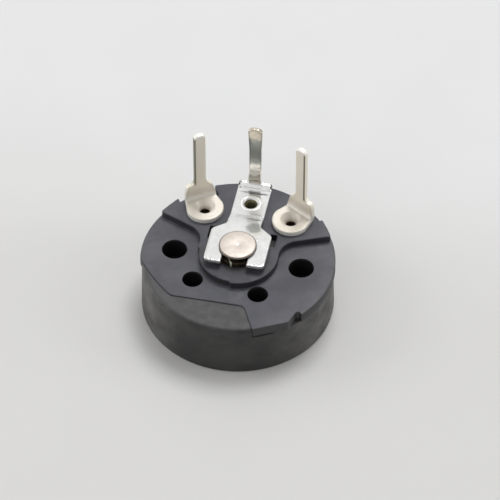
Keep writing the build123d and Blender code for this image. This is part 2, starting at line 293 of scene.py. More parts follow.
def within(points, lines):
    """Which points lie inside the outline and outside its openings, by counting the lines to their right."""
    crossed = np.zeros(len(points), int)
    for line in lines:
        a, b = line, np.roll(line, -1, 0)
        y = points[:, 1:2]
        spans = (a[:, 1] > y) != (b[:, 1] > y)
        rise = np.where(b[:, 1] == a[:, 1], 1, b[:, 1] - a[:, 1])
        x = a[:, 0] + (y - a[:, 1]) * (b[:, 0] - a[:, 0]) / rise
        crossed += (spans & (points[:, :1] < x)).sum(1)
    return crossed % 2 == 1


def inner_points(lines, spacing):
    """A square grid of points inside closed lines and no nearer to them than 0.55 of its spacing."""
    edge = np.vstack(lines)
    low, high = edge.min(0), edge.max(0)
    x, y = np.meshgrid(*(np.arange(low[k] + 0.5 * spacing, high[k], spacing) for k in (0, 1)))
    grid = np.column_stack((x.ravel(), y.ravel()))
    grid = grid[within(grid, lines)]
    gap = np.min(np.hypot(grid[:, :1] - edge[:, 0], grid[:, 1:] - edge[:, 1]), axis=1)
    return grid[gap > 0.55 * spacing]


# Surfaces


class Shell:
    """The closed surface of one piece, gathered ring by ring, in millimetres."""

    def __init__(self):
        self.points = np.zeros((0, 3))
        self.quads, self.triangles, self.flat, self.ends = [], [], [], []

    def ring(self, line, z):
        """Adds a line at a height, or at one height a point, and returns its point numbers."""
        start = len(self.points)
        rows = np.column_stack((line, np.broadcast_to(z, len(line))))
        self.points = np.vstack((self.points, rows))
        return np.arange(start, len(self.points))

    def strip(self, low, high):
        """Quads from one ring to the next, facing right of the line's run."""
        self.quads.append(np.column_stack((low, np.roll(low, -1), np.roll(high, -1), high)))

    def wall(self, line, profile):
        """A profile of (depth into the material, height) carried along the line: point i of ring k is
        line i + depth k times normal i. Depths and heights may differ from point to point."""
        normal = into(line)
        rings = []
        for depth, height in profile:
            moved = line + normal * np.broadcast_to(depth, len(line))[:, None]
            rings.append(self.ring(moved, height))
        for low, high in zip(rings, rings[1:]):
            self.strip(low, high)
        return rings[0], rings[-1]

    def fill(self, rings, up=True, spacing=0.0, flat=True):
        """Closes the plane between rings of one height with triangles, on a grid of inner points if a spacing
        is given."""
        lines = [self.points[ring, :2] for ring in rings]
        links, start = [], 0
        for line in lines:
            step = np.arange(len(line))
            links.append(np.column_stack((step, np.roll(step, -1))) + start)
            start += len(line)
        edge, numbers = np.vstack(lines), np.concatenate(rings)
        if spacing:
            grid = inner_points(lines, spacing)
            numbers = np.concatenate((numbers, self.ring(grid, self.points[rings[0][0], 2])))
            edge = np.vstack((edge, grid))
        corners = [Vector(point) for point in edge.tolist()]
        faces, origins = geometry.delaunay_2d_cdt(corners, np.vstack(links).tolist(), [], 1, 1e-6)[2:4]
        if not all(origins):
            raise ValueError("the lines round a face cross")
        triangles = np.array([origin[0] for origin in origins])[np.array(faces)]
        triangles = triangles[within(edge[triangles].mean(1), lines)]
        a, b, c = (edge[triangles[:, k]] for k in range(3))
        area = (b[:, 0] - a[:, 0]) * (c[:, 1] - a[:, 1]) - (c[:, 0] - a[:, 0]) * (b[:, 1] - a[:, 1])
        wrong = (area < 0) == up
        triangles[wrong] = triangles[wrong][:, ::-1]
        self.triangles.append(numbers[triangles])
        self.flat.append(np.full(len(triangles), flat))

    def blind(self, line, floor, top, ease):
        """A pocket: its floor, wall and eased mouth. Returns the mouth's ring."""
        foot, mouth = self.wall(hole(line), [(0, floor), *eased(top, ease)])
        self.fill([foot])
        return mouth

    def through(self, line, low, high, ease):
        """An opening from one height to another with both mouths eased. Returns both rings."""
        return self.wall(hole(line), [*eased(low, ease, False), *eased(high, ease)])

    def bent(self, bend):
        """The flat piece folded: x stays, y is the length along the bend, z the height over it."""
        self.points = bend.fold(self.points)
        return self

    def placed(self, turn, shift):
        """The piece turned about the vertical axis, then shifted."""
        self.points[:, :2] = turned(self.points[:, :2], turn, shift)
        return self


def eased(z, radius, top=True, steps=5):
    """Quarter circle from a wall to a face: depth r (1 - cos a), height z -+ r (1 - sin a)."""
    rows = []
    for turn in np.linspace(0, 0.5 * np.pi, steps):
        rise = radius * (1 - math.sin(turn))
        rows.append((radius * (1 - math.cos(turn)), z - rise if top else z + rise))
    return rows if top else rows[::-1]


class Bend:
    """The middle line of a bent strip in the YZ plane: straight runs joined by arcs of one radius. Its
    heading changes evenly along each arc, and the line is the running sum of (cos, sin) of the heading."""

    def __init__(self, corners, radius, thickness):
        corners = np.array(corners, float)
        run = np.diff(corners, axis=0)
        heading = np.arctan2(run[:, 1], run[:, 0])
        length = np.hypot(*run.T)
        turn = np.diff(heading)
        trim = radius * np.tan(np.abs(turn) / 2)
        stations, headings, at = [0.0], [heading[0]], 0.0
        for k, angle in enumerate(turn):
            at += length[k] - trim[k] - (trim[k - 1] if k else 0)
            stations += [at, at + radius * abs(angle)]
            headings += [heading[k], heading[k + 1]]
            at = stations[-1]
        at += length[-1] - trim[-1]
        self.length = at
        self.thickness = thickness
        self.u = np.linspace(0, at, 6000)
        self.heading = np.interp(self.u, stations + [at], headings + [heading[-1]])
        step = self.u[1]
        middle = 0.5 * (self.heading[1:] + self.heading[:-1])
        self.y = corners[0, 0] + np.concatenate(([0], np.cumsum(np.cos(middle) * step)))
        self.z = corners[0, 1] + np.concatenate(([0], np.cumsum(np.sin(middle) * step)))

    def at_y(self, y):
        """Length along the strip where it first reaches y."""
        rising = np.maximum.accumulate(self.y)
        return float(np.interp(y, rising, self.u))

    def at_z(self, z):
        """Length along the strip where its upright part reaches z."""
        rising = np.maximum.accumulate(self.z)
        return float(np.interp(z, rising, self.u))

    def fold(self, points):
        x, u, h = points.T
        heading = np.interp(u, self.u, self.heading)
        lift = h - 0.5 * self.thickness
        beyond = u - np.clip(u, 0, self.length)
        y = np.interp(u, self.u, self.y) - np.sin(heading) * lift + beyond * np.cos(heading)
        z = np.interp(u, self.u, self.z) + np.cos(heading) * lift + beyond * np.sin(heading)
        return np.column_stack((x, y, z))


def spun(profile, centre, count):
    """A (radius, height) profile, run anticlockwise, turned about a vertical axis through a point. Point
    (i, k) is centre + radius k (cos i, sin i). Returns the shell and its rings."""
    shell = Shell()
    rings = [shell.ring(circle(centre, radius, count), z) for radius, z in profile]
    for low, high in zip(rings, rings[1:]):
        shell.strip(low, high)
    return shell, rings


# Shader arithmetic


class Wire:
    """A shader socket that can be added, multiplied and so on."""

    def __init__(self, finish, socket):
        self.finish, self.socket = finish, socket

    def _math(self, operation, a, b):
        return self.finish.node("ShaderNodeMath", {"operation": operation}, {0: a, 1: b})

    def __add__(self, other):
        return self._math("ADD", self, other)

    def __sub__(self, other):
        return self._math("SUBTRACT", self, other)

    def __rsub__(self, other):
        return self._math("SUBTRACT", other, self)

    def __mul__(self, other):
        return self._math("MULTIPLY", self, other)

    def __truediv__(self, other):
        return self._math("DIVIDE", self, other)

    __radd__ = __add__
    __rmul__ = __mul__


class Finish:
    """A material whose nodes are added by expressions."""

    def __init__(self, name, **constants):
        self.material = bpy.data.materials.new(name)
        self.material.use_nodes = True
        self.tree = self.material.node_tree
        self.shader = next(n for n in self.tree.nodes if n.type == "BSDF_PRINCIPLED")
        for key, value in constants.items():
            self.shader.inputs[key.replace("_", " ")].default_value = value
        metres = self.node("ShaderNodeTexCoord", out="Object")
        self.place = self.node(
            "ShaderNodeVectorMath", {"operation": "SCALE"}, {0: metres, "Scale": 1000.0}
        )
        self.x, self.y, self.z = [
            self.node("ShaderNodeSeparateXYZ", {}, {0: self.place}, out=k) for k in range(3)
        ]

    def node(self, kind, settings=None, inputs=None, out=0):
        """Adds any node: its settings first, then the values or wires of its sockets."""
        made = self.tree.nodes.new(kind)
        for key, value in (settings or {}).items():
            setattr(made, key, value)
        for key, value in (inputs or {}).items():
            if isinstance(value, Wire):
                self.tree.links.new(value.socket, made.inputs[key])
            else:
                made.inputs[key].default_value = value
        return Wire(self, made.outputs[out])

    def feed(self, **sockets):
        """Links wires to the shader's own sockets."""
        for key, wire in sockets.items():
            self.tree.links.new(wire.socket, self.shader.inputs[key.replace("_", " ")])
        return self

    def noise(self, scale, detail, rough, place=None):
        """Cloudy noise from 0 to 1; its features are about 1 / scale millimetres wide."""
        sockets = {"Vector": place or self.place, "Scale": scale, "Detail": detail, "Roughness": rough}
        return self.node("ShaderNodeTexNoise", {}, sockets)

    def stretched(self, x, y, z):
        """The place with its axes scaled, for grain that runs one way."""
        return self.node("ShaderNodeMapping", {}, {"Vector": self.place, "Scale": (x, y, z)})

    def ramp(self, value, low, high, start=0.0, end=1.0):
        """Value eased from low to high into start to end, held outside."""
        return self.node(
            "ShaderNodeMapRange",
            {"interpolation_type": "SMOOTHSTEP"},
            {"Value": value, "From Min": low, "From Max": high, "To Min": start, "To Max": end},
        )

    def radius(self):
        """Distance from the shaft's axis."""
        return self.node("ShaderNodeMath", {"operation": "SQRT"}, {0: self.x * self.x + self.y * self.y})

    def oval(self, x, y, half_x, half_y, stray=0.0):
        """1 in the middle of an oval in plan, 0 outside it."""
        u, v = (self.x - x) / half_x, (self.y - y) / half_y
        return self.ramp(u * u + v * v + stray, 1.0, 0.2)

    def top(self, a, b):
        """The greater of two values."""
        return self.node("ShaderNodeMath", {"operation": "MAXIMUM"}, {0: a, 1: b})

    def blend(self, factor, a, b):
        """Colour a where the factor is 0, b where it is 1."""
        made = self.tree.nodes.new("ShaderNodeMix")
        made.data_type = "RGBA"
        for socket, value in ((made.inputs[0], factor), (made.inputs[6], a), (made.inputs[7], b)):
            if isinstance(value, Wire):
                self.tree.links.new(value.socket, socket)
            elif isinstance(value, (int, float)):
                socket.default_value = value
            else:
                socket.default_value = (*value, 1)
        return Wire(self, made.outputs[2])

    def bump(self, height, strength, depth, under=None):
        """Relief of a depth in millimetres, on top of another if one is given."""
        sockets = {"Height": height, "Strength": strength, "Distance": depth * MM}
        if under:
            sockets["Normal"] = under
        return self.node("ShaderNodeBump", {}, sockets)


def moulded(name, dark, light, dust_and_side_light, rough, side_dust_and_light, marks=None):
    """Satin moulding: cloudy tone, fine grain, and a dusting in patches that thicken toward its left and
    right, partly real and partly painted side light.
    """
    f = Finish(name, IOR=1.5)
    cloud = f.noise(0.45, 4, 0.6)
    flow = f.noise(1.6, 3, 0.55, f.stretched(1.0, 1.0, 2.2))
    grain = f.noise(16.0, 3, 0.6)
    speck = f.ramp(f.noise(9.0, 2, 0.7), 0.62, 0.72)
    tone = f.blend(f.ramp(cloud * 0.6 + flow * 0.4, 0.36, 0.64), dark, light)
    # Patches grow toward the left and right: partly real dusting, partly painted side light.
    sides = f.ramp(f.x * (f.x - 1.0), 6.0, 60.0, 0.12 * side_dust_and_light, side_dust_and_light)
    tone = f.blend(f.ramp(flow * 0.25 + cloud * 0.75, 0.24, 0.68) * sides, tone, dust_and_side_light)
    tone = f.blend(speck * 0.10, tone, dust_and_side_light)
    if marks:
        tone = marks(f, tone)
    relief = f.bump(grain, 0.35, 0.012)
    relief = f.bump(flow, 0.25, 0.05, relief)
    roughness = f.ramp(grain * 0.4 + flow * 0.6, 0.35, 0.65, rough - 0.06, rough + 0.09)
    return f.feed(Base_Color=tone, Roughness=roughness, Normal=relief)


def shaded_back(f, tone):
    """Painted shade on the back: its sides are painted as dark as the cup, its deep holes black, the front of
    its boss carries a painted shadow of the fork, and its step and pocket walls are painted darker than its
    faces."""
    # Painted shade: the vertical sides are darkened to the cup's tone.
    side = f.ramp(f.z, base_top - 0.02, base_top - 0.10)
    tone = f.blend(side, tone, (0.03, 0.03, 0.032))
    # Painted shade: the holes are darkened to black below the plate's face.
    clear_of_rim = f.ramp(f.radius(), 6.95, 6.8) * f.ramp(f.y, flat_y + 0.1, flat_y + 0.3)
    deep = clear_of_rim * f.ramp(f.z, base_top - 0.05, base_top - 0.35)
    tone = f.blend(deep, tone, (0.008, 0.008, 0.008))
    # Painted shadow of the fork on the front of the boss.
    boss = f.ramp(f.radius(), boss_radius + 0.25, boss_radius - 0.25) * f.ramp(f.y, 0.8, -0.8)
    boss_face = boss * f.ramp(f.z, base_top + 0.1, base_top + 0.3)
    tone = f.blend(boss_face * 0.55, tone, (0.028, 0.028, 0.03))
    # Painted shade on the step's walls and the pockets' walls.
    foot = f.ramp(f.z, base_top + 0.01, base_top + 0.07)
    step = foot * f.ramp(f.z, platform_top - 0.05, platform_top - 0.13)
    return f.blend(step * 0.8, tone, (0.010, 0.010, 0.011))


def painted_land_light(f, tone):
    """The land's top beside the flat is painted paler than the turned wall, in patches, as painted light."""
    patch = f.ramp(f.noise(1.1, 4, 0.65), 0.35, 0.6, 0.55, 1.0)
    return f.blend(f.ramp(f.z, land_top - 0.12, land_top - 0.01) * patch, tone, (0.07, 0.07, 0.07))


# The back's bluish cast is painted reflection of bluish light on its upward faces.
base_plastic = moulded(
    "moulded_back",
    dark=(0.054, 0.055, 0.069),
    light=(0.078, 0.079, 0.097),
    dust_and_side_light=(0.15, 0.147, 0.15),
    rough=0.52,
    side_dust_and_light=0.32,
    marks=shaded_back,
)
cup_plastic = moulded(
    "moulded_cup",
    dark=(0.018, 0.018, 0.019),
    light=(0.028, 0.028, 0.028),
    dust_and_side_light=(0.14, 0.138, 0.13),
    rough=0.55,
    side_dust_and_light=1.0,
    marks=painted_land_light,
)
rotor_plastic = moulded(
    "moulded_rotor",
    dark=(0.40, 0.39, 0.36),
    light=(0.48, 0.47, 0.44),
    dust_and_side_light=(0.30, 0.28, 0.25),
    rough=0.5,
    side_dust_and_light=0.4,
)


def sheet_metal(name, clean, dull, stain, rough, spread, stained, grain, metal=1.0, marks=None):
    """Plated sheet: drawn grain along one axis, cloudy plating and small dull spots."""
    f = Finish(name, Metallic=metal)
    cloud = f.noise(0.9, 4, 0.55)
    mottle = f.noise(3.2, 3, 0.6)
    drawn = f.noise(7.0, 3, 0.6, f.stretched(*grain))
    tone = f.blend(f.ramp(cloud * 0.5 + mottle * 0.5, 0.38, 0.62), clean, dull)
    spots = f.ramp(f.noise(2.6, 5, 0.65), 0.58, 0.72)
    tone = f.blend(spots * stained, tone, stain)
    if marks:
        tone = marks(f, tone)
    relief = f.bump(mottle, 0.25, 0.03)
    relief = f.bump(drawn, 0.2, 0.006, relief)
    roughness = f.ramp(mottle * 0.5 + drawn * 0.5, 0.36, 0.64, rough, rough + spread)
    return f.feed(Base_Color=tone, Roughness=roughness, Normal=relief)


def tin_tint_and_painted_light(f, tone):
    """Tin tones: yellower pins brightened as painted light, painted highlights on the tabs' lower edges, the
    tips and the bend, and painted shade down one edge of each pin.
    """
    # The pins are yellower, and brighter as painted light on their upright faces.
    pin = f.ramp(f.z, 7.2, 7.8)
    tone = f.blend(pin, tone, (0.92, 0.87, 0.75))
    # Painted highlights on the tabs' lower edges and the pin tips, and a painted reflection along the bend.
    edge = f.ramp(f.z, terminal_top - 0.06, terminal_top - 0.14)
    tip = f.ramp(f.z, pin_top - 0.3, pin_top - 0.18)
    fold = f.ramp(f.z, terminal_top + 0.02, terminal_top + 0.1) * f.ramp(f.z, 6.95, 6.75)
    tone = f.blend(f.top(f.top(edge, tip), fold * 0.6), tone, (0.95, 0.93, 0.87))
    c, s = math.cos(math.radians(terminal_turn)), math.sin(math.radians(terminal_turn))
    across_left = (f.x + terminal_x) * c + (f.y - terminal_y) * s
    across_right = (f.x - terminal_x) * c - (f.y - terminal_y) * s
    depth_right = (f.x - terminal_x) * s + (f.y - terminal_y) * c
    # Painted shade down the side face of each pin.
    left = f.ramp(across_left, -0.36, -0.44) * f.ramp(f.x, 0.5, -0.5)
    right = f.ramp(across_right, 0.36, 0.42) * f.ramp(depth_right, 1.22, 1.14) * f.ramp(f.x, -0.5, 0.5)
    upright = f.ramp(f.z, 7.9, 8.3) * f.ramp(f.z, pin_top - 0.2, pin_top - 0.4)
    return f.blend(upright * f.top(left, right) * 0.9, tone, (0.14, 0.13, 0.085))


tinned_metal = sheet_metal(
    "tinned_sheet",
    clean=(0.80, 0.75, 0.67),
    dull=(0.75, 0.70, 0.61),
    stain=(0.52, 0.47, 0.37),
    rough=0.42,
    spread=0.12,
    stained=0.2,
    grain=(4, 4, 0.6),
    metal=0.4,
    marks=tin_tint_and_painted_light,
)


def strap_tones_and_painted_light(f, tone):
    """Strap tones: a grey cloud behind the head, broken grey lines over the step and along the lip's bend,
    dark lip ends, painted shade on the pin's root, and up the pin a painted highlight at the kink, a painted
    dark reflection above it and a beige painted reflection near its tip."""
    wave = f.noise(1.3, 3, 0.6) - 0.5
    broken = f.ramp(f.noise(3.0, 3, 0.7, f.stretched(1.0, 5.0, 1.0)), 0.38, 0.5)
    cloud = f.oval(0.85, 2.3, 0.8, 0.75, wave * 1.2)
    step = f.oval(0.75, 3.5, 0.85, 0.2, wave * 0.5) * broken
    bend = f.oval(0.1, 6.75, 1.5, 0.2, wave * 0.4) * broken
    lying = f.ramp(f.z, strap_top + 0.75, strap_top + 0.55)
    tone = f.blend(cloud * lying * 0.75, tone, (0.33, 0.35, 0.35))
    tone = f.blend(f.top(step, bend) * lying, tone, (0.22, 0.23, 0.24))
    ends = f.ramp(f.x * f.x, 1.5, 1.85) * f.ramp(f.z, strap_top + 0.06, strap_top + 0.16)
    tone = f.blend(ends * f.ramp(f.y, 6.9, 7.2) * 0.85, tone, (0.13, 0.125, 0.11))
    # Painted shade on the pin's root and lower kink facet.
    root = f.ramp(f.z, 6.75, 7.0) * f.ramp(f.x * f.x, 1.0, 0.5)
    tone = f.blend(root, tone, (0.60, 0.56, 0.47))
    # Up the pin: a painted highlight at the kink, a painted dark reflection above it and a beige painted
    # reflection near the tip.
    for low, high, shade in (
        (8.0, 8.15, (1.0, 0.95, 0.86)),
        (8.85, 9.5, (0.33, 0.34, 0.31)),
        (11.9, 12.5, (0.74, 0.67, 0.55)),
    ):
        tone = f.blend(f.ramp(f.z + wave, low, high), tone, shade)
    return tone


bright_nickel = sheet_metal(
    "bright_nickel",
    clean=(0.95, 0.95, 0.94),
    dull=(0.86, 0.86, 0.85),
    stain=(0.6, 0.58, 0.53),
    rough=0.1,
    spread=0.08,
    stained=0.15,
    grain=(4, 0.6, 0.6),
    metal=0.8,
    marks=strap_tones_and_painted_light,
)
spring_bronze = sheet_metal(
    "spring_bronze",
    clean=(0.60, 0.42, 0.25),
    dull=(0.52, 0.36, 0.2),
    stain=(0.25, 0.15, 0.08),
    rough=0.28,
    spread=0.12,
    stained=0.3,
    grain=(4, 0.6, 4),
)


def turned_metal():
    """Shaft: rosy plated head with fine rings, a bright centre mark and painted shade on its rim, and a
    groove of dark brass with one painted highlight."""
    f = Finish("turned_shaft", Metallic=0.6)
    radius = f.radius()
    rings = f.node("ShaderNodeMath", {"operation": "SINE"}, {0: radius * 70.0})
    mottle = f.noise(2.4, 4, 0.6)
    head = f.blend(f.ramp(mottle, 0.35, 0.65), (0.67, 0.605, 0.55), (0.63, 0.57, 0.51))
    head = f.blend(f.ramp(radius, 0.22, 0.06), head, (0.95, 0.92, 0.9))
    # Painted shade on the head's rounded rim.
    head = f.blend(f.ramp(radius, shaft_radius - 0.14, shaft_radius - 0.08), head, (0.22, 0.19, 0.17))
    brass = f.blend(f.ramp(f.noise(3.0, 4, 0.6), 0.4, 0.6), (0.06, 0.042, 0.025), (0.02, 0.014, 0.01))
    # A painted highlight as a line down the neck.
    from_neck_glint = (f.x + 0.6) * 0.844 + (f.y + 1.05) * 0.537
    neck_glint = f.ramp(from_neck_glint * from_neck_glint, 0.006, 0.002)
    brass = f.blend(neck_glint, brass, (0.75, 0.76, 0.62))
    tone = f.blend(f.ramp(f.z, neck_top + 0.01, neck_top + 0.07), brass, head)
    relief = f.bump(rings, 0.12, 0.004)
    relief = f.bump(mottle, 0.2, 0.02, relief)
    return f.feed(Base_Color=tone, Roughness=f.ramp(mottle, 0.35, 0.65, 0.46, 0.54), Normal=relief)


def flat_coat(name, one, two, rough, scale, metal=0.0):
    """Printed or laminated layer: two tones mixed by grain, with a slightly rough face."""
    f = Finish(name, Metallic=metal)
    grain = f.noise(scale, 4, 0.6)
    return f.feed(
        Base_Color=f.blend(f.ramp(grain, 0.35, 0.65), one, two),
        Roughness=f.ramp(grain, 0.3, 0.7, rough - 0.08, rough + 0.08),
        Normal=f.bump(grain, 0.4, 0.01),
    )


def rivet(name, funnel, bore, low, high, metal):
    """Hollow rivet: painted shade darkens the plated funnel down its bore, from one height to another."""
    f = Finish(name, Metallic=metal)
    mottle = f.noise(3.0, 4, 0.6)
    tone = f.blend(f.ramp(mottle, 0.5, 0.7) * 0.08, funnel, bore)
    # Painted shade down the bore.
    tone = f.blend(f.ramp(f.z, low, high), bore, tone)
    return f.feed(
        Base_Color=tone,
        Roughness=f.ramp(mottle, 0.35, 0.65, 0.32, 0.5),
        Normal=f.bump(mottle, 0.25, 0.02),
    )


shaft_metal = turned_metal()
phenolic = flat_coat("phenolic", (0.20, 0.095, 0.035), (0.26, 0.13, 0.05), 0.5, 3.0)
carbon_ink = flat_coat("carbon_ink", (0.012, 0.012, 0.013), (0.022, 0.022, 0.023), 0.7, 8.0)
silver_ink = flat_coat("silver_ink", (0.6, 0.59, 0.57), (0.48, 0.47, 0.45), 0.45, 8.0, 0.8)
side_rivet = rivet(
    "tinned_rivet", funnel=(0.78, 0.73, 0.65), bore=(0.05, 0.03, 0.018), low=5.6, high=5.72, metal=0.15
)
strap_rivet = rivet(
    "plated_rivet", funnel=(0.97, 0.97, 0.96), bore=(0.26, 0.24, 0.15), low=6.08, high=6.14, metal=0.8
)


# Pieces

axis = np.array((sum(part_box("pivot_shaft"), Vector()) / 2)[:2]) / MM


def piece(name, shell, finish, body, nodes, crease):
    """Makes a shell a mesh in metres, riding on its body and standing for its solids. Edges that turn by more
    than the crease, in degrees, stay sharp."""
    quads = np.vstack(shell.quads) if shell.quads else np.zeros((0, 4), int)
    triangles = np.vstack(shell.triangles) if shell.triangles else np.zeros((0, 3), int)
    flat = np.concatenate([np.zeros(len(quads), bool), *shell.flat, np.ones(len(shell.ends), bool)])
    ends = [end.tolist() for end in shell.ends]
    mesh = bpy.data.meshes.new(name)
    points = shell.points.copy()
    points[:, :2] += axis
    mesh.from_pydata(points * MM, [], quads.tolist() + triangles.tolist() + ends)
    mesh.polygons.foreach_set("use_smooth", ~flat)
    mesh.set_sharp_from_angle(angle=math.radians(crease))
    mesh.materials.append(finish.material)
    mesh.update()
    made = bpy.data.objects.new(name, mesh)
    bpy.context.scene.collection.objects.link(made)
    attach(made, body)
    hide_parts(*nodes)


def base_outline():
    """Base plate in plan: rim, eased run to the flat, flat, key tab and notch. The run is its chord plus
    4 bulge t (1 - t) to its side."""
    rim_start, rim_end = polar(base_radius, flat_start_angle), polar(base_radius, notch_angle)
    flat_corner = np.array([flat_corner_x, flat_y])
    tab_left = polar(base_radius - 3 * tab_proud, tab_left_angle)
    tab_right = polar(base_radius + tab_proud, tab_right_angle)
    notch_right = rim_end + (-notch_width / 2, notch_width)
    notch_left = notch_right + (-notch_width, -notch_width / 4)
    chord = flat_corner - rim_start
    aside = np.array([chord[1], -chord[0]]) / np.hypot(*chord)
    t = np.linspace(0, 1, 20)[:, None]
    run = rim_start + t * chord + 4 * flat_bulge * t * (1 - t) * aside
    front = rounded(
        [
            (*run[-2], 0),
            (*flat_corner, outline_corner),
            (tab_root_x, flat_y, outline_corner),
            (*tab_left, 0),
            (*tab_right, 0),
        ]
    )
    rim = arc((0, 0), base_radius, notch_angle - 360, flat_start_angle)
    line = np.vstack((rim[1:-1], run[:-1], front[1:-1], [tab_right, notch_left, notch_right, rim_end]))
    return outer(soft(line, 0.1))


def platform_outline():
    """Platform in plan: a boss round the shaft, a blend, and a fan that is cut back behind each side
    terminal. The left half mirrors the right, apart from the stepped front of the boss."""
    slope = math.radians(fan_slope)
    edge_distance = fan_offset * math.cos(slope)
    blend_turn = fan_slope + math.degrees(math.asin((edge_distance - fan_blend) / (boss_radius + fan_blend)))
    edge_turn = fan_slope + math.degrees(math.asin(edge_distance / fan_radius))
    cut_corners = [(rim_cut_half, rim_cut_start), (-rim_cut_half, rim_cut_start)]
    cut = turned(cut_corners, -terminal_turn, right_eye)
    out = polar(1.0, 90 - terminal_turn)
    to_rim = -(cut @ out) + np.sqrt((cut @ out) ** 2 - (cut**2).sum(1) + fan_radius**2)
    cut_ends = cut + to_rim[:, None] * out
    cut_turns = np.degrees(np.arctan2(cut_ends[:, 1], cut_ends[:, 0]))
    blend_centre = polar(boss_radius + fan_blend, blend_turn)
    half_fan = np.vstack(
        (
            arc(blend_centre, fan_blend, blend_turn + 180, fan_slope + 90),
            arc((0, 0), fan_radius, edge_turn, cut_turns[0]),
            cut[0],
            cut[1],
            arc((0, 0), fan_radius, cut_turns[1], 90)[:-1],
        )
    )
    line = np.vstack(
        (
            arc((0, 0), boss_radius, -90, blend_turn)[:-1],
            half_fan,
            half_fan[::-1] * (-1, 1),
            arc((0, 0), boss_radius, 180 - blend_turn, 180)[1:],
            arc((0, 0), boss_radius - boss_step, 180, 270),
        )
    )
    return outer(soft(line, 0.09))


def moulded_back(base_line):
    """Base plate: flange, spigot, platform and holes in one moulding."""
    shell = Shell()
    platform_line = platform_outline()
    spigot = circle((0, 0), chamber_radius - running_gap, 160)
    spigot[:, 1] = np.maximum(spigot[:, 1], -chamber_flat + running_gap)
    flange_low, flange_high = shell.wall(
        base_line,
        [
            *eased(seat_top, room(base_line, seat_round), False),
            *eased(base_top, room(base_line, edge_round)),
        ],
    )
    spigot_low, spigot_high = shell.wall(outer(soft(spigot, 0.06)), [(0, base_underside), (0, seat_top)])
    foot, platform_high = shell.wall(
        platform_line,
        [
            (-0.02, base_top),
            (-0.006, base_top + 0.006),
            (0, base_top + 0.02),
            *eased(platform_top, room(platform_line, edge_round)),
        ],
    )
    mouths = []
    for places, radius, ease in (
        (big_holes, big_hole_radius, mouth_round),
        (small_holes, small_hole_radius, small_mouth_round),
    ):
        mouths += [shell.blind(circle(place, radius), hole_floor, base_top, ease) for place in places]
    pocket_mouths = []
    for a, b in ((-pocket_outer, -pocket_inner), (pocket_inner, pocket_outer)):
        pocket = np.array([(a, pocket_near), (b, pocket_near), (b, pocket_far), (a, pocket_far)])
        pocket_mouths.append(shell.blind(soft(pocket, 0.05, 0.04), pocket_floor, platform_top, mouth_round))
    bore_lines = [circle((0, 0), shaft_radius + running_gap)]
    bore_lines += [circle(eye, eyelet_hole, 48) for eye in (left_eye, right_eye, strap_eye)]
    bores = [shell.through(line, base_underside, platform_top, mouth_round) for line in bore_lines]
    shell.fill([flange_high, foot, *mouths])
    shell.fill([platform_high, *pocket_mouths, *[high for _, high in bores]])
    shell.fill([flange_low, spigot_high], up=False)
    shell.fill([spigot_low, *[low for low, _ in bores]], up=False)
    return shell


def taper(z):
    """How far the cup's wall leans in at a height."""
    return (foot_radius - rim_radius) * z / land_top


def land(shell, base_line):
    """The part of the cup's rim that fills the flat, as rows of points from the seam out to the wall. It is
    flat, then falls to the wall in a quarter circle. Returns the loop of its foot."""
    wall = foot_radius - taper(seat_top) - 0.004
    beside = base_line - into(base_line) * seam_gap
    angle = np.degrees(np.arctan2(beside[:, 1], beside[:, 0])) % 360
    at_flat = (angle > 180) & (angle < land_end_angle) & (np.hypot(*beside.T) < rim_radius - 0.035)
    seam = beside[at_flat][np.argsort(angle[at_flat])]
    near = np.hypot(*seam.T)
    fall = np.minimum(land_round, 0.9 * (wall - near))

    def height(radius):
        over = np.clip(radius - (wall - land_round), 0, land_round)
        return land_top - land_round + np.sqrt(land_round**2 - over**2)

    radii = [near, near + 0.5 * (wall - fall - near)]
    radii += [wall - fall * (1 - math.cos(turn)) for turn in np.linspace(0.5 * math.pi, 0, 9)]
    rows = [(near, seat_top), *[(radius, height(radius)) for radius in radii], (wall, seat_top)]
    spoke = (seam / near[:, None]).T
    grid = np.array([shell.ring((spoke * radius).T, z) for radius, z in rows])
    quads = np.stack((grid[:-1, :-1], grid[1:, :-1], grid[1:, 1:], grid[:-1, 1:]), axis=-1)
    shell.quads.append(quads.reshape(-1, 4))
    shell.ends = [grid[::-1, 0], grid[:, -1]]
    return np.concatenate((grid[-1], grid[0, ::-1]))


def moulded_cup(base_line):
    """Cup: turned wall, seat, chamber with the stop block, window, and the land beside the flat."""
    shell = Shell()
    foot = [(depth + taper(z), z) for depth, z in eased(0, foot_round, False)]
    wall = [(taper(z), z) for z in (half_height, seat_top)]
    cup_low, cup_high = shell.wall(circle((0, 0), foot_radius, 240), [*foot, *wall])
    chamber = circle((0, 0), chamber_radius, 160)
    chamber[:, 1] = np.maximum(chamber[:, 1], -chamber_flat)
    chamber_low, chamber_high = shell.wall(hole(soft(chamber, 0.06)), [(0, cup_floor), (0, seat_top)])
    window_low, window_high = shell.wall(
        hole(circle((0, 0), window_radius)),
        [(window_chamfer + 0.02, 0), (window_chamfer, 0.01), (0, window_chamfer), (0, cup_floor)],
    )
    stop = np.vstack(
        (
            arc((0, 0), stop_outer, 90 - stop_half_angle, 90 + stop_half_angle),
            arc((0, 0), stop_inner, 90 + stop_half_angle, 90 - stop_half_angle),
        )
    )
    stop_low, stop_high = shell.wall(outer(even(stop, 0.15)), [(0, cup_floor), (0, rotor_top)])
    land_foot = land(shell, base_line)
    shell.fill([cup_low, window_low], up=False)
    shell.fill([cup_high, land_foot, chamber_high])
    shell.fill([chamber_low, stop_low, window_high])
    shell.fill([stop_high])
    return shell


